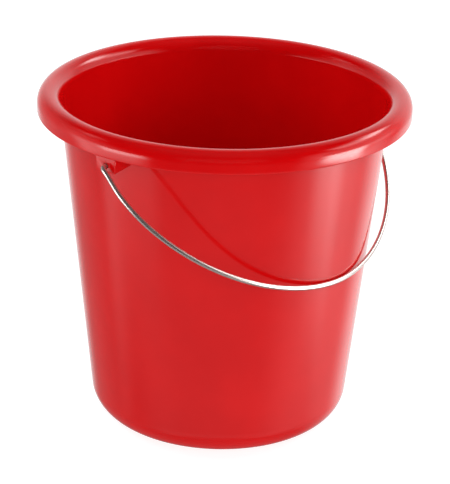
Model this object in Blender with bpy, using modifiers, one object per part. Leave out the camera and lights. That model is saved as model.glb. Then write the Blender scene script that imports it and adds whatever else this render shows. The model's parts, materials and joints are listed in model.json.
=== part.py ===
"""Wash bucket of about ten litres: a moulded plastic body and a swinging wire bail.

Frame: +Z up, origin at the centre of the foot ring on the surface that the bucket stands on.
The bail turns about the X axis, through the two ears under the rim, and rests against the
wall on the -Y side. Lengths are in metres.
"""
import math

import bmesh
import bpy

# ---- driving sizes of the body ----
RIM_RADIUS = 0.145          # outside of the rim roll, the widest part of the moulding
HEIGHT = 0.269              # from the foot ring to the crest of the rim
BASE_RADIUS = 0.1001        # outside of the wall, carried down to the standing surface
WALL = 0.002                # thickness of wall, floor and rim
RIM_OVERHANG = 0.0163       # from the wall line at full height out to the rim's outside
CORNER_RADIUS = 0.0242      # outer rounding between wall and floor
ROLL_OUT = 0.0094           # crest of the rim to its outside, level
ROLL_OUT_DROP = 0.0099      # crest of the rim to where its outside turns upright
ROLL_IN_DROP = 0.0112       # crest of the rim to where its inside meets the inner wall
SKIRT_DEPTH = 0.0161        # crest of the rim to the lower edge of its skirt
PANEL_RADIUS = 0.068        # raised floor panel inside the foot ring
PANEL_SLOPE = 0.004         # width of the slope around that panel
PANEL_LIFT = 0.002          # how far the panel stands above the foot ring

# ---- driving sizes of the bail ----
WIRE_DIAMETER = 0.0037
BAIL_REACH = 0.0117         # how far the middle of the bail passes outside the rim
LEG_SPLAY = 0.0021          # how far each leg swells outward below its ear
LOOP_START = 0.0253         # drop below the pivot at which the loop starts
LOOP_POWER = 1.88           # fullness of the loop, where 2 is a half-ellipse and 1 a triangle
BEND_RADIUS = 0.0035        # centreline radius of both bends at a wire end
HOOK_LENGTH = 0.0055        # from the pivot axis to the tip of the retaining hook

# ---- driving sizes of the ears ----
PIVOT_DROP = 0.0064         # lower edge of the rim's skirt to the pivot axis
EAR_TAIL = 0.0046           # pivot axis to the lower edge of the ear's outer plate
EAR_WALL = 0.002            # thickness of the plate and of the two side webs
EAR_SETBACK = 0.0014        # outside of the rim to the outer face of the plate
EAR_DRAFT = 0.0009          # each side web leans in by this much from top to bottom
EAR_RISE = 0.002            # the webs' lower edges rise by this much towards the wall

# ---- clearances ----
RIM_CLEARANCE = 0.0008      # rim to the wire that swings past it
BORE_CLEARANCE = 0.00035    # radial play of the wire in its hole
HOOK_CLEARANCE = 0.0019     # sweep of the hook to the side webs
REST_GAP = 0.0005           # resting bail to the wall

# ---- fineness of the faceted solids ----
TURN_STEPS = 64
WIRE_FACETS = 2             # bevel_resolution, eight sides
BORE_SIDES = 24
ROUNDING_POINTS = 7         # on each rounding of the body's section
EDGE_POINTS = 5             # on the skirt's rounded edge and on the hook's bend
LEG_POINTS = 6              # on the ear's bend and on the leg below it
LOOP_POINTS = 24            # on each half of the bail's loop
WELD = 0.00001              # points closer than this are one
CUTTER_MARGIN = 0.02        # how far a cutter runs past what it cuts

# ---- sizes that follow from the driving ones ----
TAPER = (RIM_RADIUS - RIM_OVERHANG - BASE_RADIUS) / HEIGHT
TAPER_ANGLE = math.atan(TAPER)
CREST_RADIUS = RIM_RADIUS - ROLL_OUT
SKIRT_BOTTOM = HEIGHT - SKIRT_DEPTH
PIVOT_HEIGHT = SKIRT_BOTTOM - PIVOT_DROP
WIRE_RADIUS = WIRE_DIAMETER / 2
PLATE_OUTSIDE = RIM_RADIUS - EAR_SETBACK
PLATE_INSIDE = PLATE_OUTSIDE - EAR_WALL
LEG_OUT = RIM_RADIUS + RIM_CLEARANCE + WIRE_RADIUS
BAIL_DROP = RIM_RADIUS + BAIL_REACH
HOOK_OUT = PLATE_INSIDE - BORE_CLEARANCE - BEND_RADIUS
POCKET_HALF_WIDTH = math.hypot(HOOK_LENGTH, WIRE_RADIUS) + HOOK_CLEARANCE
EAR_HALF_WIDTH = POCKET_HALF_WIDTH + EAR_WALL


def outer_radius(height):
    """Radius of the wall's outside at a height."""
    return BASE_RADIUS + TAPER * height


def inner_radius(height):
    """Radius of the wall's inside at a height."""
    return outer_radius(height) - WALL / math.cos(TAPER_ANGLE)


def rest_tilt():
    """Angle of the resting bail from straight down, with its middle against the wall."""
    stand_off = outer_radius(PIVOT_HEIGHT) * math.cos(TAPER_ANGLE) + WIRE_RADIUS + REST_GAP
    return math.asin(stand_off / BAIL_DROP) - TAPER_ANGLE


def arc(centre, radii, start, end, count):
    """Points on an ellipse's arc between two angles in degrees, both ends included."""
    points = []
    for index in range(count):
        angle = math.radians(start + (end - start) * index / (count - 1))
        points.append((centre[0] + radii[0] * math.cos(angle), centre[1] + radii[1] * math.sin(angle)))
    return points


def shell_profile(depth):
    """Outline of the body's upper and inner skin, sunk by a depth below it, axis to skirt."""
    lift = PANEL_LIFT + WALL - depth
    corner = (outer_radius(CORNER_RADIUS) - CORNER_RADIUS / math.cos(TAPER_ANGLE), CORNER_RADIUS)
    corner_radius = CORNER_RADIUS - WALL + depth
    roll_in = (CREST_RADIUS, HEIGHT - ROLL_IN_DROP)
    roll_in_radius = CREST_RADIUS - inner_radius(HEIGHT - ROLL_IN_DROP) - depth / math.cos(TAPER_ANGLE)
    roll_out = (CREST_RADIUS, HEIGHT - ROLL_OUT_DROP)
    points = [(0.0, lift), (PANEL_RADIUS, lift), (PANEL_RADIUS + PANEL_SLOPE, WALL - depth)]
    points += arc(corner, (corner_radius, corner_radius), -90, -math.degrees(TAPER_ANGLE), ROUNDING_POINTS)
    points += arc(roll_in, (roll_in_radius, ROLL_IN_DROP - depth), 180, 90, ROUNDING_POINTS)
    points += arc(roll_out, (ROLL_OUT - depth, ROLL_OUT_DROP - depth), 90, 0, ROUNDING_POINTS)[1:]
    return points


def body_profile():
    """Closed section of the body: up the inside, over the rim and down the outside."""
    edge = WALL / 2
    edge_centre = (RIM_RADIUS - edge, SKIRT_BOTTOM + edge)
    skirt_edge = arc(edge_centre, (edge, edge), 0, -180, EDGE_POINTS)
    return shell_profile(0.0) + skirt_edge + shell_profile(WALL)[::-1]


def groove_core_profile():
    """Section of everything above and inside the middle of the body's skin."""
    far = RIM_RADIUS + CUTTER_MARGIN
    top = HEIGHT + CUTTER_MARGIN
    middle = shell_profile(WALL / 2)
    lowest = (middle[-1][0], SKIRT_BOTTOM + WALL)
    return [(0.0, top), (far, top), (far, SKIRT_BOTTOM + WALL), lowest] + middle[::-1]


def new_material(name, colour, roughness, metallic):
    """Principled material with a plain colour."""
    material = bpy.data.materials.new(name)
    material.use_nodes = True
    shader = material.node_tree.nodes["Principled BSDF"]
    shader.inputs["Base Color"].default_value = (*colour, 1.0)
    shader.inputs["Roughness"].default_value = roughness
    shader.inputs["Metallic"].default_value = metallic
    return material


def new_collection(name):
    """Collection linked to the scene."""
    collection = bpy.data.collections.new(name)
    bpy.context.scene.collection.children.link(collection)
    return collection


def add_mesh_object(name, mesh, collection):
    """Object for a mesh, linked to one collection."""
    item = bpy.data.objects.new(name, mesh)
    collection.objects.link(item)
    return item


def mark_as_cutter(item):
    """Show a cutter or guide as wire and keep it out of renders."""
    item.hide_render = True
    item.display_type = "WIRE"


def turned(name, profile, collection):
    """Solid turned about the Z axis from a section given as radius and height."""
    mesh = bpy.data.meshes.new(name)
    edges = [(index, index + 1) for index in range(len(profile) - 1)]
    mesh.from_pydata([(radius, 0.0, height) for radius, height in profile], edges, [])
    item = add_mesh_object(name, mesh, collection)
    screw = item.modifiers.new("turn", "SCREW")
    screw.axis = "Z"
    screw.angle = math.tau
    screw.steps = TURN_STEPS
    screw.render_steps = TURN_STEPS
    screw.use_merge_vertices = True
    screw.merge_threshold = WELD
    return item


def block(name, low, high, collection):
    """Box between two corners."""
    mesh = bpy.data.meshes.new(name)
    shape = bmesh.new()
    bmesh.ops.create_cube(shape, size=1.0)
    for vertex in shape.verts:
        for axis in range(3):
            middle = (low[axis] + high[axis]) / 2
            vertex.co[axis] = middle + vertex.co[axis] * (high[axis] - low[axis])
    shape.to_mesh(mesh)
    shape.free()
    return add_mesh_object(name, mesh, collection)


def bore_cutter(collection):
    """Cylinder along X that makes the wire's hole in an ear's plate."""
    start = PLATE_INSIDE - EAR_WALL
    end = RIM_RADIUS + EAR_WALL
    radius = WIRE_RADIUS + BORE_CLEARANCE
    bpy.ops.mesh.primitive_cylinder_add(
        vertices=BORE_SIDES,
        radius=radius,
        depth=end - start,
        location=((start + end) / 2, 0.0, PIVOT_HEIGHT),
        rotation=(0.0, math.pi / 2, 0.0),
    )
    cutter = bpy.context.object
    cutter.name = "ear_bore"
    for old in list(cutter.users_collection):
        old.objects.unlink(cutter)
    collection.objects.link(cutter)
    return cutter


def add_boolean(item, operation, other):
    """Boolean modifier with the exact solver."""
    modifier = item.modifiers.new(operation.lower() + "_" + other.name, "BOOLEAN")
    modifier.operation = operation
    modifier.solver = "EXACT"
    modifier.object = other


def make_ears(cutters):
    """The two hollow ears: an outer plate on two webs, open below, one under each rim side."""
    tail = PIVOT_HEIGHT - EAR_TAIL
    top = HEIGHT - WALL / 2
    root = outer_radius(tail) - WALL * 2
    ears = block("ears", (root, -EAR_HALF_WIDTH, tail), (PLATE_OUTSIDE, EAR_HALF_WIDTH, top), cutters)
    for vertex in ears.data.vertices:
        if vertex.co.z < PIVOT_HEIGHT:
            vertex.co.y -= math.copysign(EAR_DRAFT, vertex.co.y)
            if vertex.co.x < PLATE_INSIDE:
                vertex.co.z += EAR_RISE
    pocket_low = (root - WALL, -POCKET_HALF_WIDTH, tail - EAR_TAIL)
    pocket_high = (PLATE_INSIDE, POCKET_HALF_WIDTH, top + WALL)
    pocket = block("ear_pocket", pocket_low, pocket_high, cutters)
    for vertex in pocket.data.vertices:
        if vertex.co.z < PIVOT_HEIGHT:
            vertex.co.y -= math.copysign(EAR_DRAFT, vertex.co.y)
    core = turned("groove_core", groove_core_profile(), cutters)
    bore = bore_cutter(cutters)
    for cutter in (pocket, bore, core):
        mark_as_cutter(cutter)
        add_boolean(ears, "DIFFERENCE", cutter)
    mirror = ears.modifiers.new("other_side", "MIRROR")
    mirror.merge_threshold = WELD
    mark_as_cutter(ears)
    return ears


def make_body(parts, cutters, material):
    """The moulded body: wall, floor, rolled rim and the two ears in one piece."""
    body = turned("bucket_body", body_profile(), parts)
    add_boolean(body, "UNION", make_ears(cutters))
    body.data.materials.append(material)
    return body


def bail_half():
    """Centreline of one half of the bail as (out, down) points, hook tip to the middle."""
    loop_half_width = LEG_OUT + LEG_SPLAY
    points = [(HOOK_OUT, -HOOK_LENGTH)]
    points += arc((HOOK_OUT + BEND_RADIUS, -BEND_RADIUS), (BEND_RADIUS, BEND_RADIUS), 180, 90, EDGE_POINTS)
    points += arc((LEG_OUT - BEND_RADIUS, BEND_RADIUS), (BEND_RADIUS, BEND_RADIUS), -90, 0, LEG_POINTS)
    for index in range(1, LEG_POINTS):
        share = index / LEG_POINTS
        ease = share * share * (3 - 2 * share)
        points.append((LEG_OUT + LEG_SPLAY * ease, BEND_RADIUS + (LOOP_START - BEND_RADIUS) * share))
    for index in range(LOOP_POINTS):
        angle = math.radians(90 * index / (LOOP_POINTS - 1))
        out = loop_half_width * max(math.cos(angle), 0.0) ** (2 / LOOP_POWER)
        points.append((out, LOOP_START + (BAIL_DROP - LOOP_START) * math.sin(angle) ** (2 / LOOP_POWER)))
    return points


def make_bail(parts, material):
    """The bail: one bent wire, hooked through both ears and free to swing about X."""
    half = bail_half()
    path = half + [(-out, down) for out, down in half[-2::-1]]
    curve = bpy.data.curves.new("bail_wire", "CURVE")
    curve.dimensions = "3D"
    curve.bevel_depth = WIRE_RADIUS
    curve.bevel_resolution = WIRE_FACETS
    curve.use_fill_caps = True
    spline = curve.splines.new("POLY")
    spline.points.add(len(path) - 1)
    for point, (out, down) in zip(spline.points, path):
        point.co = (out, 0.0, -down, 1.0)
    curve.materials.append(material)
    bail = bpy.data.objects.new("bail_wire", curve)
    bail.location = (0.0, 0.0, PIVOT_HEIGHT)
    bail.rotation_euler = (-rest_tilt(), 0.0, 0.0)
    parts.objects.link(bail)
    return bail


def main():
    """Clear the scene and build both pieces."""
    for item in list(bpy.data.objects):
        bpy.data.objects.remove(item, do_unlink=True)
    parts = new_collection("wash_bucket")
    cutters = new_collection("cutters")
    red_plastic = new_material("red_polypropylene", (0.64, 0.003, 0.003), 0.27, 0.0)
    bright_wire = new_material("galvanised_wire", (0.78, 0.76, 0.73), 0.22, 1.0)
    make_body(parts, cutters, red_plastic)
    make_bail(parts, bright_wire)


main()
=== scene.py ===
"""Looks of the wash bucket: a glossy red moulded body with two ears and a bright wire bail.

Lengths are in metres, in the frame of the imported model: +Z up, the bail's pivot along X through
the ears, the resting bail against the wall on the -Y side.
"""

import json
import logging
import math
from dataclasses import dataclass, field
from enum import Enum
from typing import Any, Optional, Sequence, Union

import bmesh
import bpy
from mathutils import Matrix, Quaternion, Vector


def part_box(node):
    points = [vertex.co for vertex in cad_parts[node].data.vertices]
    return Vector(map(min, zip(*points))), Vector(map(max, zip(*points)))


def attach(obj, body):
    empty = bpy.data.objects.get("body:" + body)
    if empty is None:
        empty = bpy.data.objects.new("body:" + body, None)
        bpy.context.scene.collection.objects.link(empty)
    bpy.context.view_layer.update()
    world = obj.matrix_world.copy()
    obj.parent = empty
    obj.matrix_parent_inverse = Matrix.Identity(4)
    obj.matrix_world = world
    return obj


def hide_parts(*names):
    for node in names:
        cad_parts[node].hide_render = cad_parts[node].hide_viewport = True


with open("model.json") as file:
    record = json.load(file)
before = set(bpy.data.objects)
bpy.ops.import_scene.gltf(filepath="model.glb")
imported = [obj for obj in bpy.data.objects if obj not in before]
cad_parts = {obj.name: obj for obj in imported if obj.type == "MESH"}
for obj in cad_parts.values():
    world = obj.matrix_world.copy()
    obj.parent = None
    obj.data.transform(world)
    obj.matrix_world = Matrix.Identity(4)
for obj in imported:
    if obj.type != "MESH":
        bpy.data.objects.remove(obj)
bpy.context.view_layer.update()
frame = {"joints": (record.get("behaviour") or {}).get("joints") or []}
log = logging.getLogger("wash_bucket")

Point = tuple[float, float]
Value = Union["Signal", float, int, bool, str, Sequence[float], bpy.types.ID]

PRINCIPLED = "Principled BSDF"
WHITE = (1.0, 1.0, 1.0, 1.0)


class Slot(Enum):
    """The record's material slots."""

    RED_PLASTIC = "red_plastic"
    BRIGHT_WIRE = "bright_wire"


class Body(Enum):
    """The bodies that pieces ride on."""

    BUCKET = "bucket"
    BAIL = "bail"


class Signal:
    """An output socket of a node tree that takes part in Python expressions.

    Args:
        bench: the tree that the socket belongs to.
        socket: the output socket.
    """

    def __init__(self, bench: "Bench", socket: bpy.types.NodeSocket) -> None:
        self.bench = bench
        self.socket = socket

    def _maths(self, operation: str, *values: Value) -> "Signal":
        """Math node of one operation on up to three values."""
        return self.bench.node("ShaderNodeMath", {"operation": operation}, dict(enumerate(values)))

    def __add__(self, other: Value) -> "Signal":
        """This plus another."""
        return self._maths("ADD", self, other)

    def __radd__(self, other: Value) -> "Signal":
        """Another plus this."""
        return self._maths("ADD", other, self)

    def __sub__(self, other: Value) -> "Signal":
        """This less another."""
        return self._maths("SUBTRACT", self, other)

    def __rsub__(self, other: Value) -> "Signal":
        """Another less this."""
        return self._maths("SUBTRACT", other, self)

    def __mul__(self, other: Value) -> "Signal":
        """This times another."""
        return self._maths("MULTIPLY", self, other)

    def __rmul__(self, other: Value) -> "Signal":
        """Another times this."""
        return self._maths("MULTIPLY", other, self)

    def __truediv__(self, other: Value) -> "Signal":
        """This over another."""
        return self._maths("DIVIDE", self, other)

    def __rtruediv__(self, other: Value) -> "Signal":
        """Another over this."""
        return self._maths("DIVIDE", other, self)

    def __mod__(self, other: Value) -> "Signal":
        """What is left of this after whole steps of another."""
        return self._maths("FLOORED_MODULO", self, other)

    def floor(self) -> "Signal":
        """The whole number below."""
        return self._maths("FLOOR", self)

    def sine(self) -> "Signal":
        """Sine of an angle in radians."""
        return self._maths("SINE", self)

    def cosine(self) -> "Signal":
        """Cosine of an angle in radians."""
        return self._maths("COSINE", self)

    def arcsine(self) -> "Signal":
        """Angle in radians whose sine this is."""
        return self._maths("ARCSINE", self)

    def bearing(self, ahead: "Signal") -> "Signal":
        """Angle in radians of a direction whose sideways share this is, from the one straight ahead."""
        return self._maths("ARCTAN2", self, ahead)

    def size(self) -> "Signal":
        """The value without its sign."""
        return self._maths("ABSOLUTE", self)

    def ramped(self, low: float, high: float) -> "Signal":
        """Smooth step of this value.

        Args:
            low: value where the result is 0.
            high: value where the result is 1, which may be the smaller of the two.

        Returns:
            A signal from 0 to 1.
        """
        settings = {"interpolation_type": "SMOOTHSTEP"}
        if low < high:
            return self.bench.node("ShaderNodeMapRange", settings, {0: self, 1: low, 2: high})
        return 1.0 - self.bench.node("ShaderNodeMapRange", settings, {0: self, 1: high, 2: low})


class Bench:
    """A node tree under construction.

    Args:
        tree: a material's tree or a Geometry Nodes group.
    """

    def __init__(self, tree: bpy.types.NodeTree) -> None:
        self.tree = tree

    def node(
        self,
        kind: str,
        settings: Optional[dict[str, Any]] = None,
        inputs: Optional[dict[Union[int, str], Value]] = None,
        output: Union[int, str] = 0,
    ) -> Signal:
        """Adds one node.

        Args:
            kind: the node's type.
            settings: its properties, set first.
            inputs: values or links of its sockets, by number or name.
            output: number or name of the output to hand back.

        Returns:
            The chosen output.
        """
        made = self.tree.nodes.new(kind)
        for name, value in (settings or {}).items():
            setattr(made, name, value)
        for name, value in (inputs or {}).items():
            if isinstance(value, Signal):
                self.tree.links.new(value.socket, made.inputs[name])
            else:
                made.inputs[name].default_value = value
        return Signal(self, made.outputs[output])

    def also(self, signal: Signal, output: Union[int, str]) -> Signal:
        """Another output of the node that a signal comes from."""
        return Signal(self, signal.socket.node.outputs[output])

    def noise(self, coordinates: Signal, pattern: "Pattern") -> Signal:
        """Noise between 0 and 1 around 0.5.

        Args:
            coordinates: where it is read, in metres.
            pattern: what it looks like.

        Returns:
            The noise.
        """
        if pattern.stretch is not None:
            scaling = {"operation": "MULTIPLY"}
            coordinates = self.node("ShaderNodeVectorMath", scaling, {0: coordinates, 1: pattern.stretch})
        look = {"Scale": pattern.scale, "Detail": pattern.detail, "Roughness": pattern.roughness}
        return self.node("ShaderNodeTexNoise", {}, {"Vector": coordinates, **look})

    def along(self, direction: Signal, axis: Sequence[float]) -> Signal:
        """How far a direction runs along an axis."""
        product = {"operation": "DOT_PRODUCT"}
        return self.node("ShaderNodeVectorMath", product, {0: direction, 1: axis}, "Value")

    def blend(self, factor: Value, first: Value, second: Value) -> Signal:
        """Colour between two colours.

        Args:
            factor: 0 for the first, 1 for the second.
            first: one colour.
            second: the other colour.

        Returns:
            The mixed colour.
        """
        settings = {"data_type": "RGBA", "clamp_factor": True}
        return self.node("ShaderNodeMix", settings, {0: factor, 6: first, 7: second}, 2)

    def surface(self, colour: Signal, rough: Signal, relief: Signal) -> bpy.types.Node:
        """Feeds a material's Principled shader.

        Args:
            colour: its base colour.
            rough: its roughness.
            relief: height of the surface's fine relief in metres.

        Returns:
            The shader.
        """
        bump = self.node("ShaderNodeBump", {}, {"Strength": 1.0, "Distance": 1.0, "Height": relief})
        shader = self.tree.nodes[PRINCIPLED]
        for signal, socket in ((colour, "Base Color"), (rough, "Roughness"), (bump, "Normal")):
            self.tree.links.new(signal.socket, shader.inputs[socket])
        return shader


@dataclass(frozen=True)
class Pattern:
    """A noise pattern.

    Args:
        scale: features per unit of its coordinates.
        detail: octaves.
        roughness: weight of the finer octaves.
        stretch: what metres are multiplied by along each axis first, if by anything.
    """

    scale: float
    detail: float
    roughness: float
    stretch: Optional[tuple[float, float, float]] = None


def new_material(name: str) -> tuple[bpy.types.Material, Bench]:
    """Adds a material with nodes.

    Args:
        name: the material's name.

    Returns:
        The material and a bench for its node tree.
    """
    material = bpy.data.materials.new(name)
    material.use_nodes = True
    return material, Bench(material.node_tree)


@dataclass(frozen=True)
class MouldedRed:
    """Glossy through-coloured polypropylene, as it comes out of a polished mould."""

    name: str = "red_polypropylene"
    colour: tuple[float, float, float] = (0.66, 0.0022, 0.003)
    deep_colour: tuple[float, float, float] = (0.6, 0.0012, 0.0022)
    worn_colour: tuple[float, float, float] = (0.64, 0.01, 0.009)
    roughness: float = 0.11
    refraction: float = 1.49
    foot_wear_top: float = 0.006
    foot_wear_full: float = 0.0005
    crest_wear_depth: float = 0.0012
    clouds: Pattern = Pattern(14.0, 3.0, 0.55)
    flow: Pattern = Pattern(1.0, 3.0, 0.6, (60.0, 60.0, 3.0))
    peel: Pattern = Pattern(260.0, 2.0, 0.45)
    ripple: Pattern = Pattern(1.0, 2.0, 0.4, (26.0, 26.0, 9.0))
    grain: Pattern = Pattern(2400.0, 2.0, 0.6)
    rubs: Pattern = Pattern(1.0, 5.0, 0.7, (90.0, 240.0, 700.0))
    scuffs: Pattern = Pattern(1.0, 2.0, 0.5, (700.0, 700.0, 38.0))
    cloud_edges: Point = (0.3, 0.7)
    foot_rub_edges: Point = (0.42, 0.6)
    crest_rub_edges: Point = (0.5, 0.64)
    scratch_edges: Point = (0.69, 0.74)
    scratch_patch_edges: Point = (0.45, 0.6)
    foot_wear: float = 0.55
    crest_wear: float = 0.25
    scratch_wear: float = 0.12
    cloud_gloss: float = 0.06
    flow_gloss: float = 0.05
    grain_gloss: float = 0.04
    wear_gloss: float = 0.3
    peel_height: float = 0.000006
    ripple_height: float = 0.00003
    flow_height: float = 0.000006
    wear_depth: float = 0.00002

    def material(self, height: float) -> bpy.types.Material:
        """Builds the finish.

        Args:
            height: height of the rim's crest, where hands and stacking rub it.

        Returns:
            The material.
        """
        material, bench = new_material(self.name)
        place = bench.node("ShaderNodeTexCoord", {}, {}, "Object")
        apart = bench.node("ShaderNodeSeparateXYZ", {}, {0: place})
        level = bench.also(apart, 2)

        clouds = bench.noise(place, self.clouds)
        flow = bench.noise(place, self.flow)
        peel = bench.noise(place, self.peel)
        ripple = bench.noise(place, self.ripple)
        grain = bench.noise(place, self.grain)

        rubs = bench.noise(place, self.rubs)
        foot = level.ramped(self.foot_wear_top, self.foot_wear_full) * rubs.ramped(*self.foot_rub_edges)
        crest = level.ramped(height - self.crest_wear_depth, height) * rubs.ramped(*self.crest_rub_edges)
        scuffs = bench.noise(place, self.scuffs)
        scratch = scuffs.ramped(*self.scratch_edges) * clouds.ramped(*self.scratch_patch_edges)
        wear = foot * self.foot_wear + crest * self.crest_wear + scratch * self.scratch_wear

        deep, bright, worn = ((*rgb, 1.0) for rgb in (self.deep_colour, self.colour, self.worn_colour))
        colour = bench.blend(wear, bench.blend(clouds.ramped(*self.cloud_edges), deep, bright), worn)
        rough = self.roughness + (clouds - 0.5) * self.cloud_gloss + (flow - 0.5) * self.flow_gloss
        rough = rough + (grain - 0.5) * self.grain_gloss + wear * self.wear_gloss

        relief = peel * self.peel_height + ripple * self.ripple_height + flow * self.flow_height
        shader = bench.surface(colour, rough, relief - wear * self.wear_depth)
        shader.inputs["IOR"].default_value = self.refraction
        return material


@dataclass(frozen=True)
class GalvanisedWire:
    """Bright zinc-coated steel wire with the fine lengthwise lines of drawing."""

    name: str = "galvanised_wire"
    bright: tuple[float, float, float] = (0.78, 0.68, 0.64)
    dull: tuple[float, float, float] = (0.55, 0.47, 0.44)
    roughness: float = 0.24
    metallic: float = 0.88
    run_attribute: str = "wire_run"
    lines: Pattern = Pattern(1.0, 3.0, 0.6, (25.0, 5200.0, 5200.0))
    patches: Pattern = Pattern(1.0, 3.0, 0.6, (120.0, 500.0, 500.0))
    specks: Pattern = Pattern(1.0, 2.0, 0.5, (1500.0, 1500.0, 1500.0))
    line_edges: Point = (0.5, 0.75)
    patch_edges: Point = (0.45, 0.75)
    speck_edges: Point = (0.62, 0.7)
    line_share: float = 0.25
    patch_share: float = 0.35
    speck_share: float = 0.25
    dull_gloss: float = 0.2
    line_gloss: float = 0.08
    line_height: float = 0.000006
    patch_height: float = 0.00001
    speck_height: float = 0.000003

    def material(self) -> bpy.types.Material:
        """Builds the finish, which reads metres along and around the wire from its attribute."""
        material, bench = new_material(self.name)
        settings = {"attribute_type": "GEOMETRY", "attribute_name": self.run_attribute}
        run = bench.node("ShaderNodeAttribute", settings, {}, "Vector")

        lines = bench.noise(run, self.lines)
        patches = bench.noise(run, self.patches)
        specks = bench.noise(run, self.specks)

        dulled = patches.ramped(*self.patch_edges) * self.patch_share
        dulled = dulled + lines.ramped(*self.line_edges) * self.line_share
        dulled = dulled + specks.ramped(*self.speck_edges) * self.speck_share
        colour = bench.blend(dulled, (*self.bright, 1.0), (*self.dull, 1.0))
        rough = self.roughness + dulled * self.dull_gloss + (lines - 0.5) * self.line_gloss
        relief = lines * self.line_height + patches * self.patch_height + specks * self.speck_height
        shader = bench.surface(colour, rough, relief)
        shader.inputs["Metallic"].default_value = self.metallic
        return material


def arc(centre: Point, radii: Point, start: float, end: float, count: int) -> list[Point]:
    """Points on an ellipse's arc.

    Args:
        centre: middle of the ellipse.
        radii: its two radii.
        start: first angle in degrees.
        end: last angle in degrees.
        count: number of points, both ends included.

    Returns:
        The points.
    """
    points = []
    for index in range(count):
        angle = math.radians(start + (end - start) * index / (count - 1))
        points.append((centre[0] + radii[0] * math.cos(angle), centre[1] + radii[1] * math.sin(angle)))
    return points


def filled_in(points: Sequence[Point], longest: float, hold: float) -> list[Point]:
    """The same outline with points added on its straight runs.

    Args:
        points: the outline.
        longest: longest step that is left undivided.
        hold: length of the short first and last step of a long run, which keep the smooth
            shading of the neighbouring roundings off it.

    Returns:
        The finer outline.
    """
    finer = [points[0]]
    for start, end in zip(points, points[1:]):
        length = math.dist(start, end)
        shares = [0.0, 1.0]
        if length > hold * 4:
            pieces = max(1, math.ceil(length / longest))
            inner = hold / length
            shares = [0.0, *[inner + (1 - 2 * inner) * index / pieces for index in range(pieces + 1)], 1.0]
        for share in shares[1:]:
            finer.append((start[0] + (end[0] - start[0]) * share, start[1] + (end[1] - start[1]) * share))
    return finer


def direction_to(azimuth: float, elevation: float) -> Vector:
    """Unit vector from the bucket.

    Args:
        azimuth: degrees about the Z axis from -Y, positive towards +X.
        elevation: degrees above the horizon.

    Returns:
        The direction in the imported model's frame.
    """
    turn, rise = math.radians(azimuth), math.radians(elevation)
    return Vector((math.sin(turn) * math.cos(rise), -math.cos(turn) * math.cos(rise), math.sin(rise)))


def placed(name: str, data: bpy.types.ID) -> bpy.types.Object:
    """Links a new object of some data to the scene.

    Args:
        name: the object's name.
        data: its mesh, light or camera.

    Returns:
        The object.
    """
    item = bpy.data.objects.new(name, data)
    bpy.context.scene.collection.objects.link(item)
    return item


def face_outward(mesh: bpy.types.Mesh) -> None:
    """Turns a closed mesh's faces outward."""
    shape = bmesh.new()
    shape.from_mesh(mesh)
    bmesh.ops.recalc_face_normals(shape, faces=shape.faces)
    shape.to_mesh(mesh)
    shape.free()


def plain_mesh(item: bpy.types.Object, name: str) -> bpy.types.Object:
    """Turns an object's modifiers into a plain mesh in a new object at the origin.

    Args:
        item: the object, which is removed.
        name: the new object's name.

    Returns:
        The new object.
    """
    evaluated = item.evaluated_get(bpy.context.evaluated_depsgraph_get())
    mesh = bpy.data.meshes.new_from_object(evaluated)
    mesh.name = name
    bpy.data.objects.remove(item, do_unlink=True)
    return placed(name, mesh)


def shade(item: bpy.types.Object, crease: float) -> None:
    """Smooth shading with edges sharper than an angle in degrees kept crisp."""
    item.data.shade_smooth()
    item.data.set_sharp_from_angle(angle=math.radians(crease))


class PathTree:
    """A Geometry Nodes group with named inputs, run once on a mesh of points.

    Args:
        name: the group's name.
    """

    def __init__(self, name: str) -> None:
        self.group = bpy.data.node_groups.new(name, "GeometryNodeTree")
        self.group.interface.new_socket("Geometry", in_out="OUTPUT", socket_type="NodeSocketGeometry")
        self.group.interface.new_socket("Geometry", in_out="INPUT", socket_type="NodeSocketGeometry")
        self.bench = Bench(self.group)
        self.values: dict[str, Any] = {}
        self.entry = self.group.nodes.new("NodeGroupInput")

    def start(self) -> Signal:
        """The geometry that the group is given."""
        return Signal(self.bench, self.entry.outputs["Geometry"])

    def named(self, name: str, kind: str, value: Any) -> Signal:
        """Adds a named input.

        Args:
            name: what it is called.
            kind: its socket type.
            value: what it is set to on the modifier.

        Returns:
            The input's signal.
        """
        socket = self.group.interface.new_socket(name, in_out="INPUT", socket_type=kind)
        self.values[socket.identifier] = value
        return Signal(self.bench, self.entry.outputs[name])

    def finish(self, shape: Signal, finish: Signal) -> None:
        """Ends the tree in Realize Instances and Set Material."""
        real = self.bench.node("GeometryNodeRealizeInstances", {}, {0: shape})
        dressed = self.bench.node("GeometryNodeSetMaterial", {}, {"Geometry": real, "Material": finish})
        leave = self.group.nodes.new("NodeGroupOutput")
        self.group.links.new(dressed.socket, leave.inputs[0])

    def run(self, points: Sequence[Sequence[float]], name: str) -> bpy.types.Object:
        """Runs the group on a chain of points.

        Args:
            points: the chain, in order.
            name: the result's name.

        Returns:
            A plain mesh object.
        """
        chain = bpy.data.meshes.new(name + "_points")
        chain.from_pydata(points, [(index, index + 1) for index in range(len(points) - 1)], [])
        item = placed(name + "_points", chain)
        modifier = item.modifiers.new("shape", "NODES")
        modifier.node_group = self.group
        for identifier, value in self.values.items():
            modifier[identifier] = value
        return plain_mesh(item, name)


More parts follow.
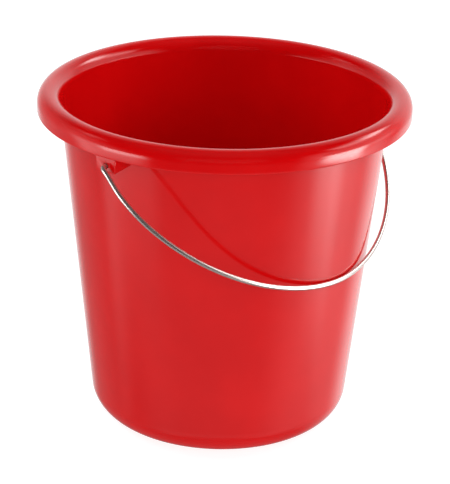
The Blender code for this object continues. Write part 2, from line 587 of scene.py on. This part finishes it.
@dataclass
class MouldedBody:
    """The bucket's body: wall, floor, rolled rim and the two hollow ears in one moulding."""

    finish: bpy.types.Material
    rim_radius: float
    height: float
    pivot_height: float
    base_radius: float = 0.1001
    wall: float = 0.002
    rim_overhang: float = 0.0163
    corner_radius: float = 0.0242
    roll_out: float = 0.0094
    roll_out_drop: float = 0.0099
    roll_in_drop: float = 0.0112
    skirt_depth: float = 0.0161
    panel_radius: float = 0.068
    panel_slope: float = 0.004
    panel_lift: float = 0.002
    ear_tail: float = 0.0046
    ear_wall: float = 0.002
    ear_setback: float = 0.0014
    ear_draft: float = 0.0009
    ear_rise: float = 0.002
    pocket_half_width: float = 0.0077
    bore_radius: float = 0.0022
    edge_round: float = 0.00045
    edge_round_steps: int = 3
    edge_round_from: float = 50.0
    crease: float = 32.0
    turn_steps: int = 256
    corner_points: int = 17
    roll_in_points: int = 19
    roll_out_points: int = 21
    skirt_points: int = 9
    bore_sides: int = 48
    longest_step: float = 0.02
    hold_step: float = 0.0003
    weld: float = 0.000005
    mirror_weld: float = 0.00001
    clear_of_body: float = 0.02

    @property
    def taper(self) -> float:
        """Outward run of the wall for each metre of height."""
        return (self.rim_radius - self.rim_overhang - self.base_radius) / self.height

    @property
    def taper_angle(self) -> float:
        """Lean of the wall in radians."""
        return math.atan(self.taper)

    def outer_radius(self, level: float) -> float:
        """Radius of the wall's outside at a height."""
        return self.base_radius + self.taper * level

    def inner_radius(self, level: float) -> float:
        """Radius of the wall's inside at a height."""
        return self.outer_radius(level) - self.wall / math.cos(self.taper_angle)

    def skin(self, depth: float) -> list[Point]:
        """Outline of the upper and inner skin, sunk below it.

        Args:
            depth: how far below the skin, up to the wall's thickness for the underside.

        Returns:
            Points as radius and height, from the axis to the skirt.
        """
        lift = self.panel_lift + self.wall - depth
        lean = self.taper_angle
        corner_middle = self.outer_radius(self.corner_radius) - self.corner_radius / math.cos(lean)
        corner_round = self.corner_radius - self.wall + depth
        crest = self.rim_radius - self.roll_out
        seat = self.height - self.roll_in_drop
        roll_in = crest - self.inner_radius(seat) - depth / math.cos(lean)
        outside = (self.roll_out - depth, self.roll_out_drop - depth)
        points = [(0.0, lift)]
        points += [(self.panel_radius, lift), (self.panel_radius + self.panel_slope, self.wall - depth)]
        corner, corner_radii = (corner_middle, self.corner_radius), (corner_round, corner_round)
        points += arc(corner, corner_radii, -90, -math.degrees(lean), self.corner_points)
        points += arc((crest, seat), (roll_in, self.roll_in_drop - depth), 180, 90, self.roll_in_points)
        middle = (crest, self.height - self.roll_out_drop)
        points += arc(middle, outside, 90, 0, self.roll_out_points)[1:]
        return points

    def section(self) -> list[Point]:
        """Section of the body: up the inside, over the rim, round its edge and down the outside."""
        edge = self.wall / 2
        edge_middle = (self.rim_radius - edge, self.height - self.skirt_depth + edge)
        inside = filled_in(self.skin(0.0), self.longest_step, self.hold_step)
        outside = filled_in(self.skin(self.wall), self.longest_step, self.hold_step)
        return inside + arc(edge_middle, (edge, edge), 0, -180, self.skirt_points) + outside[::-1]

    def core_section(self) -> list[Point]:
        """Section of everything above and inside the middle of the skin."""
        far = self.rim_radius + self.clear_of_body
        low = self.height - self.skirt_depth + self.wall
        middle = filled_in(self.skin(self.wall / 2), self.longest_step, self.hold_step)
        top = self.height + self.clear_of_body
        return [(0.0, top), (far, top), (far, low), (middle[-1][0], low)] + middle[::-1]

    def turned(self, name: str, section: Sequence[Point]) -> bpy.types.Object:
        """Turns a section about the Z axis with Geometry Nodes.

        Args:
            name: the solid's name.
            section: radius and height of its points, from the axis and back to it.

        Returns:
            The closed solid as a plain mesh.
        """
        tree = PathTree(name + "_turning")
        bench = tree.bench
        steps = tree.named("Turn Steps", "NodeSocketInt", self.turn_steps)
        count = tree.named("Section Points", "NodeSocketInt", len(section))
        weld = tree.named("Weld Distance", "NodeSocketFloat", self.weld)
        finish = tree.named("Finish", "NodeSocketMaterial", self.finish)
        sizes = {"Vertices X": steps + 1.0, "Vertices Y": count}
        grid = bench.node("GeometryNodeMeshGrid", {}, sizes)
        index = bench.node("GeometryNodeInputIndex")
        where = bench.node("GeometryNodeInputPosition")
        read = {"Geometry": tree.start(), "Value": where, "Index": index % count}
        sampled = bench.node("GeometryNodeSampleIndex", {"data_type": "FLOAT_VECTOR", "clamp": True}, read)
        apart = bench.node("ShaderNodeSeparateXYZ", {}, {0: sampled})
        angle = (index / count).floor() * math.tau / steps
        place = {0: apart * angle.cosine(), 1: apart * angle.sine(), 2: bench.also(apart, 2)}
        at = bench.node("ShaderNodeCombineXYZ", {}, place)
        shaped = bench.node("GeometryNodeSetPosition", {}, {"Geometry": grid, "Position": at})
        sealed = bench.node("GeometryNodeMergeByDistance", {}, {"Geometry": shaped, "Distance": weld})
        tree.finish(sealed, finish)
        solid = tree.run([(radius, 0.0, level) for radius, level in section], name)
        face_outward(solid.data)
        return solid

    def solid(self, name: str, shape: bmesh.types.BMesh) -> bpy.types.Object:
        """Object of a finished shape, which is freed, in the body's material."""
        mesh = bpy.data.meshes.new(name)
        shape.to_mesh(mesh)
        shape.free()
        mesh.materials.append(self.finish)
        return placed(name, mesh)

    def block(self, name: str, low: Sequence[float], high: Sequence[float]) -> bpy.types.Object:
        """Box between two corners, with its lower part drawn in by the ear's draft.

        Args:
            name: the box's name.
            low: its lowest corner.
            high: its highest corner.

        Returns:
            The box.
        """
        shape = bmesh.new()
        bmesh.ops.create_cube(shape, size=1.0)
        for vertex in shape.verts:
            for axis in range(3):
                vertex.co[axis] = high[axis] if vertex.co[axis] > 0 else low[axis]
            if vertex.co.z < self.pivot_height:
                vertex.co.y -= math.copysign(self.ear_draft, vertex.co.y)
        return self.solid(name, shape)

    def bore(self, start: float, end: float) -> bpy.types.Object:
        """Round cutter for the wire's hole, along X between two distances from the axis."""
        shape = bmesh.new()
        radii = (self.bore_radius, self.bore_radius)
        ring = arc((0.0, self.pivot_height), radii, 0, 360 - 360 / self.bore_sides, self.bore_sides)
        ends = [[shape.verts.new((out, y, z)) for y, z in ring] for out in (start, end)]
        for index in range(len(ring)):
            after = (index + 1) % len(ring)
            shape.faces.new((ends[0][index], ends[0][after], ends[1][after], ends[1][index]))
        shape.faces.new(ends[0])
        shape.faces.new(ends[1][::-1])
        bmesh.ops.recalc_face_normals(shape, faces=shape.faces)
        return self.solid("ear_hole", shape)

    @staticmethod
    def combine(item: bpy.types.Object, operation: str, other: bpy.types.Object) -> None:
        """Adds a Boolean modifier with the exact solver and hides the other solid."""
        modifier = item.modifiers.new(operation.lower() + "_" + other.name, "BOOLEAN")
        modifier.operation = operation
        modifier.solver = "EXACT"
        modifier.object = other

    def ears(self) -> bpy.types.Object:
        """The two ears: an outer plate on two side webs, open below, cut to the middle of the skin."""
        tail = self.pivot_height - self.ear_tail
        top = self.height - self.wall / 2
        root = self.outer_radius(tail) - self.wall * 2
        plate = self.rim_radius - self.ear_setback
        half_width = self.pocket_half_width + self.ear_wall
        ear = self.block("ears", (root, -half_width, tail), (plate, half_width, top))
        for vertex in ear.data.vertices:
            if vertex.co.z < self.pivot_height and vertex.co.x < plate - self.ear_wall:
                vertex.co.z += self.ear_rise
        inside = plate - self.ear_wall
        low = (root - self.wall, -self.pocket_half_width, tail - self.ear_tail)
        pocket = self.block("ear_pocket", low, (inside, self.pocket_half_width, top + self.wall))
        hole = self.bore(inside - self.ear_wall, plate + self.ear_wall)
        core = self.turned("skin_core", self.core_section())
        for cutter in (pocket, hole):
            self.combine(ear, "DIFFERENCE", cutter)
        rounding = ear.modifiers.new("edge_round", "BEVEL")
        rounding.width = self.edge_round
        rounding.segments = self.edge_round_steps
        rounding.limit_method = "ANGLE"
        rounding.angle_limit = math.radians(self.edge_round_from)
        self.combine(ear, "DIFFERENCE", core)
        mirror = ear.modifiers.new("other_side", "MIRROR")
        mirror.merge_threshold = self.mirror_weld
        pair = plain_mesh(ear, "ears")
        for cutter in (pocket, hole, core):
            bpy.data.objects.remove(cutter, do_unlink=True)
        return pair

    def build(self) -> bpy.types.Object:
        """Builds the moulding as one closed mesh.

        Returns:
            The finished piece, riding on the bucket.
        """
        shell = self.turned("shell", self.section())
        ears = self.ears()
        self.combine(shell, "UNION", ears)
        piece = plain_mesh(shell, "red_bucket")
        bpy.data.objects.remove(ears, do_unlink=True)
        shade(piece, self.crease)
        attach(piece, Body.BUCKET.value)
        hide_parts("bucket_body")
        log.info("%s: %d faces", piece.name, len(piece.data.polygons))
        return piece


@dataclass
class WireBail:
    """The carrying bail: one bent wire whose ends hook through the ears."""

    finish: bpy.types.Material
    run_attribute: str
    pivot_height: float
    wall_radius: float
    wall_lean: float
    wire_radius: float = 0.00185
    rest_gap: float = 0.0005
    leg_out: float = 0.14765
    leg_splay: float = 0.0021
    drop: float = 0.1567
    loop_start: float = 0.0253
    loop_power: float = 1.88
    bend_radius: float = 0.0035
    hook_out: float = 0.13775
    hook_length: float = 0.0055
    crease: float = 50.0
    sides: int = 28
    bend_points: int = 9
    leg_points: int = 16
    loop_points: int = 80

    @property
    def tilt(self) -> float:
        """Angle in radians of the resting bail from straight down, with its middle against the wall."""
        stand_off = self.wall_radius * math.cos(self.wall_lean) + self.wire_radius + self.rest_gap
        return math.asin(stand_off / self.drop) - self.wall_lean

    def half(self) -> list[Point]:
        """Centreline of one half as distance out and drop, from the hook's tip to the middle."""
        bend = self.bend_radius
        points = [(self.hook_out, -self.hook_length)]
        points += arc((self.hook_out + bend, -bend), (bend, bend), 180, 90, self.bend_points)
        points += arc((self.leg_out - bend, bend), (bend, bend), -90, 0, self.bend_points)
        for index in range(1, self.leg_points):
            share = index / self.leg_points
            ease = share * share * (3 - 2 * share)
            points.append((self.leg_out + self.leg_splay * ease, bend + (self.loop_start - bend) * share))
        half_width, depth = self.leg_out + self.leg_splay, self.drop - self.loop_start
        for index in range(self.loop_points):
            angle = math.radians(90 * index / (self.loop_points - 1))
            out = half_width * max(math.cos(angle), 0.0) ** (2 / self.loop_power)
            points.append((out, self.loop_start + depth * math.sin(angle) ** (2 / self.loop_power)))
        return points

    def centreline(self) -> list[tuple[float, float, float]]:
        """The whole centreline at rest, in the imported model's frame."""
        half = self.half()
        path = half + [(-out, down) for out, down in half[-2::-1]]
        lean, fall = math.sin(self.tilt), math.cos(self.tilt)
        return [(out, -down * lean, self.pivot_height - down * fall) for out, down in path]

    def swept(self) -> bpy.types.Object:
        """Sweeps the round wire along its centreline with Geometry Nodes."""
        tree = PathTree("bail_sweep")
        bench = tree.bench
        radius = tree.named("Wire Radius", "NodeSocketFloat", self.wire_radius)
        sides = tree.named("Sides", "NodeSocketInt", self.sides)
        finish = tree.named("Finish", "NodeSocketMaterial", self.finish)
        line = bench.node("GeometryNodeMeshToCurve", {}, {0: tree.start()})
        ring = bench.node("GeometryNodeCurvePrimitiveCircle", {}, {"Resolution": sides, "Radius": radius})
        length = bench.node("GeometryNodeSplineParameter", {}, {}, "Length")
        along = self.captured(bench, line, "FLOAT", length)
        share = bench.node("GeometryNodeSplineParameter", {}, {}, "Factor")
        around = self.captured(bench, ring, "FLOAT", share)
        swept = bench.node(
            "GeometryNodeCurveToMesh", {}, {0: along[0], "Profile Curve": around[0], "Fill Caps": True}
        )
        angle = around[1] * math.tau
        parts = {0: along[1], 1: angle.cosine() * radius, 2: angle.sine() * radius}
        run = bench.node("ShaderNodeCombineXYZ", {}, parts)
        stored = bench.node(
            "GeometryNodeStoreNamedAttribute",
            {"data_type": "FLOAT_VECTOR", "domain": "POINT"},
            {"Geometry": swept, "Name": self.run_attribute, "Value": run},
        )
        tree.finish(stored, finish)
        return tree.run(self.centreline(), "bright_bail")

    @staticmethod
    def captured(bench: Bench, shape: Signal, kind: str, value: Signal) -> tuple[Signal, Signal]:
        """Keeps a value on a curve's points before it is swept.

        Args:
            bench: the tree.
            shape: the curve.
            kind: the value's data type.
            value: the value.

        Returns:
            The curve and the kept value.
        """
        keeper = bench.tree.nodes.new("GeometryNodeCaptureAttribute")
        keeper.capture_items.new(kind, "kept")
        bench.tree.links.new(shape.socket, keeper.inputs[0])
        bench.tree.links.new(value.socket, keeper.inputs[1])
        return Signal(bench, keeper.outputs[0]), Signal(bench, keeper.outputs[1])

    def build(self) -> bpy.types.Object:
        """Builds the bail.

        Returns:
            The finished piece, riding on the bail.
        """
        piece = self.swept()
        face_outward(piece.data)
        shade(piece, self.crease)
        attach(piece, Body.BAIL.value)
        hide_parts("bail_wire")
        log.info("%s: %d faces", piece.name, len(piece.data.polygons))
        return piece


@dataclass(frozen=True)
class Softbox:
    """A rectangular light that faces the bucket and lights it without showing in its gloss."""

    name: str
    azimuth: float
    elevation: float
    distance: float
    size: Point
    radiance: float


@dataclass(frozen=True)
class Panel:
    """A soft-edged bright patch of the surroundings, as the gloss sees it, in degrees."""

    name: str
    azimuth: float
    elevation: float
    half_width: float
    half_height: float
    soft_width: float
    soft_height: float
    radiance: float


@dataclass
class Studio:
    """Pale floor, white surroundings and soft lights, laid out around the viewing direction."""

    view_azimuth: float
    middle: Vector
    floor_size: float = 12.0
    floor_colour: float = 0.3
    floor_glow: float = 0.88
    floor_roughness: float = 0.9
    floor_drop: float = 0.0004
    room: float = 0.004
    softboxes: list[Softbox] = field(
        default_factory=lambda: [
            Softbox("ceiling_fill", 0.0, 85.0, 1.9, (2.6, 2.6), 0.6),
            Softbox("front_fill", 0.0, 25.0, 2.4, (2.0, 1.2), 2.7),
            Softbox("left_fill", -70.0, 10.0, 1.6, (1.2, 1.0), 0.5),
            Softbox("right_fill", 72.0, 10.0, 1.6, (1.2, 1.0), 2.2),
            Softbox("left_upper_fill", -105.0, 32.0, 1.6, (1.0, 0.7), 5.6),
            Softbox("right_upper_fill", 108.0, 32.0, 1.6, (1.0, 0.7), 5.6),
            Softbox("back_fill", 180.0, 35.0, 1.8, (1.6, 0.8), 2.0),
        ]
    )
    panels: list[Panel] = field(
        default_factory=lambda: [
            Panel("floor_all_round", 0.0, -90.0, 180.0, 52.0, 1.0, 9.0, 0.2),
            Panel("floor_in_front", 5.0, -43.0, 68.0, 11.5, 22.0, 2.5, 0.3),
            Panel("floor_on_the_left", -110.0, -36.0, 60.0, 8.0, 20.0, 8.0, 0.15),
            Panel("floor_on_the_right", 110.0, -33.0, 55.0, 12.0, 25.0, 10.0, 0.5),
            Panel("backdrop", 165.0, -2.0, 38.0, 30.0, 18.0, 12.0, 1.0),
            Panel("backdrop_above", 175.0, 40.0, 35.0, 14.0, 20.0, 10.0, 0.4),
            Panel("left_backdrop", -128.0, -10.0, 35.0, 18.0, 15.0, 14.0, 0.5),
            Panel("left_backdrop_above", -120.0, 20.0, 36.0, 12.0, 18.0, 8.0, 0.25),
            Panel("left_softbox", -62.0, -7.5, 15.0, 9.0, 5.0, 5.0, 4.6),
            Panel("left_spill", -74.0, -13.0, 24.0, 16.0, 8.0, 8.0, 1.9),
            Panel("left_spill_above", -84.0, 8.0, 22.0, 12.0, 12.0, 8.0, 0.4),
            Panel("left_upper_softbox", -103.0, 38.0, 8.0, 5.0, 6.0, 5.0, 0.9),
            Panel("right_softbox", 77.0, -11.5, 14.0, 12.5, 6.0, 6.0, 11.0),
            Panel("right_softbox_foot", 84.0, -27.0, 12.0, 4.0, 8.0, 4.0, 2.6),
            Panel("right_spill", 86.0, -13.0, 26.0, 17.0, 14.0, 8.0, 1.6),
            Panel("right_spill_near", 53.0, -5.0, 7.0, 22.0, 5.0, 6.0, 0.3),
            Panel("right_spill_above", 88.0, 12.0, 32.0, 16.0, 10.0, 8.0, 0.9),
            Panel("right_upper_softbox", 106.0, 36.0, 28.0, 6.0, 6.0, 7.0, 3.4),
            Panel("right_upper_middle", 122.0, 35.5, 12.0, 5.0, 7.0, 5.0, 4.6),
            Panel("ceiling", 0.0, 90.0, 180.0, 24.0, 1.0, 10.0, 0.08),
        ]
    )

    def toward(self, azimuth: float, elevation: float) -> Vector:
        """Unit vector from the bucket.

        Args:
            azimuth: degrees to the viewer's right, 0 towards the viewer.
            elevation: degrees above the horizon.

        Returns:
            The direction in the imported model's frame.
        """
        return direction_to(self.view_azimuth + azimuth, elevation)

    def light(self, box: Softbox) -> None:
        """Adds one softbox."""
        data = bpy.data.lights.new(box.name, "AREA")
        data.shape = "RECTANGLE"
        data.size, data.size_y = box.size
        data.energy = box.radiance * math.pi * box.size[0] * box.size[1]
        item = placed(box.name, data)
        direction = self.toward(box.azimuth, box.elevation)
        item.location = self.middle + direction * box.distance
        item.rotation_mode = "QUATERNION"
        item.rotation_quaternion = direction.to_track_quat("Z", "Y")
        item.visible_camera = False
        item.visible_glossy = False

    def glow(self, bench: Bench, direction: Signal, panel: Panel) -> Signal:
        """Light of one panel in a direction.

        Args:
            bench: the surroundings' tree.
            direction: the direction looked in.
            panel: the panel.

        Returns:
            Its share of the light.
        """
        ahead = bench.along(direction, self.toward(panel.azimuth, 0.0))
        aside = bench.along(direction, self.toward(panel.azimuth + 90.0, 0.0))
        across = aside.bearing(ahead).size() * math.degrees(1.0)
        height = bench.along(direction, (0.0, 0.0, 1.0)).arcsine() * math.degrees(1.0)
        up = (height - panel.elevation).size()
        width = across.ramped(panel.half_width + panel.soft_width, panel.half_width - panel.soft_width)
        tall = up.ramped(panel.half_height + panel.soft_height, panel.half_height - panel.soft_height)
        return width * tall * panel.radiance

    def surroundings(self) -> None:
        """White to the eye, and the panels to the gloss."""
        world = bpy.data.worlds.new("studio_surroundings")
        world.use_nodes = True
        bench = Bench(world.node_tree)
        direction = bench.node("ShaderNodeTexCoord", {}, {}, "Generated")
        light = bench.node("ShaderNodeValue")
        light.socket.default_value = self.room
        for panel in self.panels:
            light = light + self.glow(bench, direction, panel)
        seen = bench.node("ShaderNodeLightPath", {}, {}, "Is Camera Ray")
        light = light * (1.0 - seen) + seen
        background = world.node_tree.nodes["Background"]
        background.inputs["Color"].default_value = WHITE
        world.node_tree.links.new(light.socket, background.inputs["Strength"])
        bpy.context.scene.world = world
        world.cycles_visibility.diffuse = False

    def floor(self) -> None:
        """A level floor under the bucket, which its gloss sees as panels instead."""
        side, front = self.toward(90.0, 0.0), self.toward(0.0, 0.0)
        reach = self.floor_size / 2
        lift = Vector((0.0, 0.0, -self.floor_drop))
        corners = []
        for across, near in ((-1, 1), (1, 1), (1, -1), (-1, -1)):
            corners.append(lift + side * (across * reach) + front * (near * reach))
        mesh = bpy.data.meshes.new("studio_floor")
        mesh.from_pydata(corners, [], [(0, 1, 2, 3)])
        material, bench = new_material("studio_floor")
        shader = bench.tree.nodes[PRINCIPLED]
        shader.inputs["Base Color"].default_value = (*[self.floor_colour] * 3, 1.0)
        shader.inputs["Roughness"].default_value = self.floor_roughness
        shader.inputs["Emission Color"].default_value = WHITE
        shader.inputs["Emission Strength"].default_value = self.floor_glow
        mesh.materials.append(material)
        item = placed("studio_floor", mesh)
        item.visible_glossy = False

    def build(self) -> None:
        """Builds the floor, the surroundings and the lights."""
        self.floor()
        self.surroundings()
        for box in self.softboxes:
            self.light(box)
            log.info("light %s", box.name)


@dataclass(frozen=True)
class ViewPoint:
    """The camera: where it stands, what it looks at and how it is held."""

    azimuth: float = -53.25
    elevation: float = 22.63
    distance: float = 1.798
    aim_height: float = 0.1408
    aim_side: float = 0.00263
    roll: float = 1.37
    lens: float = 168.55
    sensor_width: float = 36.0
    nearest: float = 0.05
    farthest: float = 50.0

    def build(self) -> bpy.types.Object:
        """Adds the camera and makes it the scene's own."""
        back = direction_to(self.azimuth, self.elevation)
        turn = math.radians(self.azimuth)
        side = Vector((math.cos(turn), math.sin(turn), 0.0))
        aim = side * self.aim_side + Vector((0.0, 0.0, self.aim_height))
        data = bpy.data.cameras.new("viewpoint")
        data.lens = self.lens
        data.sensor_width = self.sensor_width
        data.clip_start, data.clip_end = self.nearest, self.farthest
        item = placed("viewpoint", data)
        item.location = aim + back * self.distance
        item.rotation_mode = "QUATERNION"
        item.rotation_quaternion = back.to_track_quat("Z", "Y")
        item.rotation_quaternion.rotate(Quaternion(back, math.radians(self.roll)))
        bpy.context.scene.camera = item
        return item


def main() -> None:
    """Builds the pieces in order, then the studio and the camera."""
    logging.basicConfig(level=logging.INFO, format="%(name)s: %(message)s")
    pivot_height = frame["joints"][0]["pos_m"][2]
    low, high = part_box("bucket_body")

    view = ViewPoint()
    red = MouldedRed().material(high.z)
    wire = GalvanisedWire()
    body = MouldedBody(finish=red, rim_radius=high.y, height=high.z, pivot_height=pivot_height)
    body.build()
    bail = WireBail(
        finish=wire.material(),
        run_attribute=wire.run_attribute,
        pivot_height=pivot_height,
        wall_radius=body.outer_radius(pivot_height),
        wall_lean=body.taper_angle,
    )
    bail.build()
    studio = Studio(view_azimuth=view.azimuth, middle=Vector((0.0, 0.0, high.z / 2)))
    studio.build()
    view.build()
    bpy.context.scene.view_settings.view_transform = "Standard"


if __name__ == "__main__":
    main()
